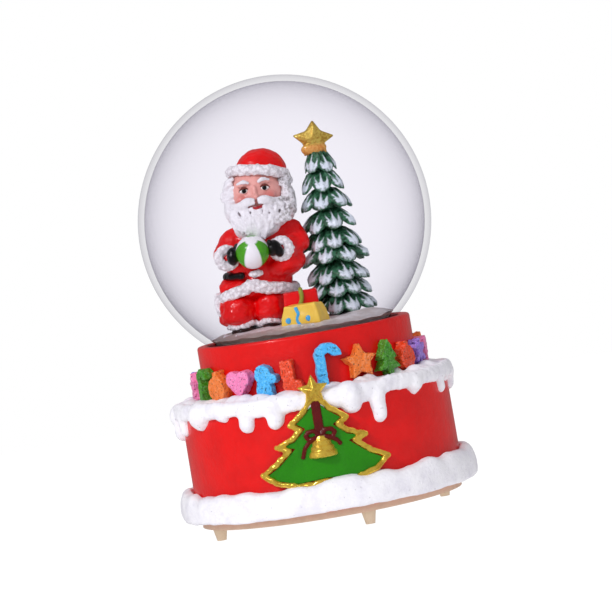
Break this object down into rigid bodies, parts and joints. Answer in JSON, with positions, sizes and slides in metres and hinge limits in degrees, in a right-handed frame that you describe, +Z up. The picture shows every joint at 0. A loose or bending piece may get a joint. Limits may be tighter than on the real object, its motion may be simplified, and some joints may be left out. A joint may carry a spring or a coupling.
{
  "type": "musical snow globe",
  "caption": "Liquid-filled glass ball with a cast winter scene on a stepped round base that holds a wind-up musical movement.",
  "frame": {"origin": "centre of the base on the surface the feet rest on, on the ball's axis", "axes": "+Z up through the ball, -Y towards the front with the bell plaque, +X to the viewer's right"},
  "size_m": [0.1024, 0.1024, 0.1528],
  "materials": {
    "ball_glass": "clear polished glass",
    "liquid": "clear liquid with a faint lavender tint",
    "black_rubber": "matte",
    "scene_snow": "painted cast resin snow",
    "flake_white": "matte flakes",
    "painted_figure": "hand-painted cast resin, red coat, white fur and beard",
    "toy_ball_paint": "painted green and white panels",
    "fir_paint": "painted cast resin with snowy tips",
    "gold_glitter": "gold paint and glitter",
    "gift_red_paint": "painted, olive ribbon",
    "gift_yellow_paint": "painted, blue ribbon",
    "red_resin": "glossy cast resin",
    "snow_resin": "white enamelled cast resin",
    "orn_green": "glittered enamel",
    "orn_orange": "glittered enamel",
    "orn_pink": "glittered enamel",
    "orn_blue": "glittered enamel",
    "orn_red": "glittered enamel",
    "orn_purple": "glittered enamel",
    "plaque_green": "flat enamel",
    "plaque_gold": "gold paint",
    "ribbon_red": "satin paint",
    "plate_beige": "moulded plastic",
    "zinc_steel": "zinc plated",
    "key_steel": "nickel plated",
    "bed_zinc": "cast, satin",
    "brass": "polished",
    "comb_steel": "ground steel",
    "spring_steel": "blued steel",
    "white_plastic": "moulded plastic"
  },
  "bodies": {
    "case": {"globe": "ball_glass", "stopper": "black_rubber", "liquid_fill": "liquid", "snow_ground": "scene_snow", "snow_flakes": "flake_white", "santa_figure": "painted_figure", "toy_ball": "toy_ball_paint", "fir_tree": "fir_paint", "tree_star": "gold_glitter", "gift_red": "gift_red_paint", "gift_yellow": "gift_yellow_paint", "base_casting": "red_resin", "snow_ledge": "snow_resin", "snow_rim": "snow_resin", "ornaments_green": "orn_green", "ornaments_orange": "orn_orange", "ornaments_pink": "orn_pink", "ornaments_blue": "orn_blue", "ornaments_red": "orn_red", "ornaments_purple": "orn_purple", "plaque_panel": "plaque_green", "plaque_border": "plaque_gold", "plaque_star": "plaque_gold", "bell": "plaque_gold", "bell_ribbon": "ribbon_red", "bottom_plate": "plate_beige", "plate_screws": "zinc_steel", "movement_screws": "zinc_steel", "bedplate": "bed_zinc", "comb": "comb_steel", "comb_screws": "zinc_steel", "bearing_left": "zinc_steel", "bearing_right": "zinc_steel", "idler_post": "zinc_steel", "spring_housing": "bed_zinc", "housing_screws": "zinc_steel", "mainspring": "spring_steel", "governor_cock": "bed_zinc"},
    "winder": {"winding_key": "key_steel", "winding_arbor": "zinc_steel", "ratchet_wheel": "zinc_steel"},
    "great_wheel": {"crown_wheel": "brass", "click_pin": "zinc_steel"},
    "click": {"click": "zinc_steel"},
    "drum": {"drum": "brass", "drum_shaft": "zinc_steel", "drum_gear": "brass", "drum_pinion": "zinc_steel"},
    "idler": {"idler_wheel": "white_plastic", "idler_axle": "zinc_steel"},
    "governor": {"governor_worm": "zinc_steel", "governor_fan": "white_plastic"}
  },
  "joints": [
    {"name": "key_wind", "type": "hinge", "parent": "case", "child": "winder", "pos_m": [-0.012, 0, 0.01], "axis": [0, 0, 1], "range_deg": [0, 1260]},
    {"name": "great_wheel_spin", "type": "hinge", "parent": "case", "child": "great_wheel", "pos_m": [-0.012, 0, 0.02], "axis": [0, 0, 1], "continuous": true},
    {"name": "click_pivot", "type": "hinge", "parent": "great_wheel", "child": "click", "pos_m": [-0.00916, 0.00923, 0.02], "axis": [0, 0, 1], "range_deg": [0, 3], "stiffness_Nm_per_rad": 0.0001},
    {"name": "drum_spin", "type": "hinge", "parent": "case", "child": "drum", "pos_m": [0.012, 0, 0.024], "axis": [1, 0, 0], "continuous": true},
    {"name": "idler_spin", "type": "hinge", "parent": "case", "child": "idler", "pos_m": [0.022, 0.0092, 0.024], "axis": [1, 0, 0], "continuous": true},
    {"name": "governor_spin", "type": "hinge", "parent": "case", "child": "governor", "pos_m": [0.025, 0.0168, 0.024], "axis": [0, 0, 1], "continuous": true}
  ],
  "couplings": [
    {"joint": "great_wheel_spin", "follows": "drum_spin", "ratio": 0.32258},
    {"joint": "idler_spin", "follows": "drum_spin", "ratio": -4.75},
    {"joint": "governor_spin", "follows": "drum_spin", "ratio": 114}
  ]
}
